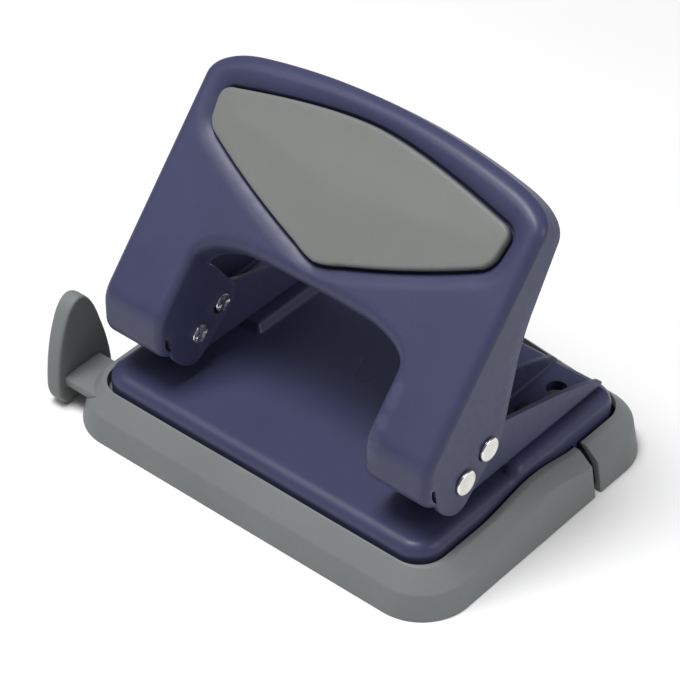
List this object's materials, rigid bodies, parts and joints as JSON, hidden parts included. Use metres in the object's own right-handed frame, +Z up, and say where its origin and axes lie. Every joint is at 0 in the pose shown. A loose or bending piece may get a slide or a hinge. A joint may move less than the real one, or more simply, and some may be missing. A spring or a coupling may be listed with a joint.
{
  "type": "two-hole paper punch",
  "caption": "Desk paper punch with a sprung sheet-metal lever on two U brackets, drawn base plate, hinged chip tray and sliding paper guide.",
  "frame": {"origin": "middle of the tray's flat underside, on the surface the punch stands on", "axes": "+X along the width, to the right seen from the paper side; +Y to the back, away from the paper slot; +Z up"},
  "size_m": [0.1228, 0.088, 0.0915],
  "materials": {
    "blue_paint": "satin dark blue stove paint",
    "grey_plastic": "fine-grained moulded grey plastic",
    "pad_plastic": "soft matt grey plastic",
    "nickel": "bright nickel plating",
    "spring_steel": "drawn spring wire"
  },
  "bodies": {
    "base": {"base_plate": "blue_paint", "rear_shell": "grey_plastic", "left_bracket": "blue_paint", "right_bracket": "blue_paint", "left_pivot_pin": "nickel", "right_pivot_pin": "nickel", "left_rivet_1": "blue_paint", "left_rivet_2": "blue_paint", "right_rivet_1": "blue_paint", "right_rivet_2": "blue_paint", "left_spring": "spring_steel", "right_spring": "spring_steel"},
    "lever": {"lever_handle": "blue_paint", "handle_pad": "pad_plastic"},
    "left_punch": {"left_punch_rod": "nickel", "left_spring_clip": "spring_steel", "left_drive_pin": "nickel"},
    "right_punch": {"right_punch_rod": "nickel", "right_spring_clip": "spring_steel", "right_drive_pin": "nickel"},
    "tray": {"chip_tray": "grey_plastic"},
    "guide": {"paper_guide": "grey_plastic"}
  },
  "joints": [
    {"name": "lever_hinge", "type": "hinge", "parent": "base", "child": "lever", "pos_m": [0, -0.022, 0.0278], "axis": [-1, 0, 0], "range_deg": [0, 36.5], "stiffness_Nm_per_rad": 0.25, "springref_deg": -22.92},
    {"name": "left_punch_slide", "type": "slide", "parent": "base", "child": "left_punch", "axis": [0, 0, -1], "range_m": [0, 0.0058], "deforming": ["left_spring"]},
    {"name": "right_punch_slide", "type": "slide", "parent": "base", "child": "right_punch", "axis": [0, 0, -1], "range_m": [0, 0.0058], "deforming": ["right_spring"]},
    {"name": "tray_hinge", "type": "hinge", "parent": "base", "child": "tray", "pos_m": [0, 0.0191, 0], "axis": [1, 0, 0], "range_deg": [0, 65]},
    {"name": "guide_slide", "type": "slide", "parent": "tray", "child": "guide", "axis": [-1, 0, 0], "range_m": [-0.0015, 0.088]}
  ],
  "couplings": [
    {"joint": "left_punch_slide", "follows": "lever_hinge", "m_per_rad": 0.009},
    {"joint": "right_punch_slide", "follows": "lever_hinge", "m_per_rad": 0.009}
  ]
}
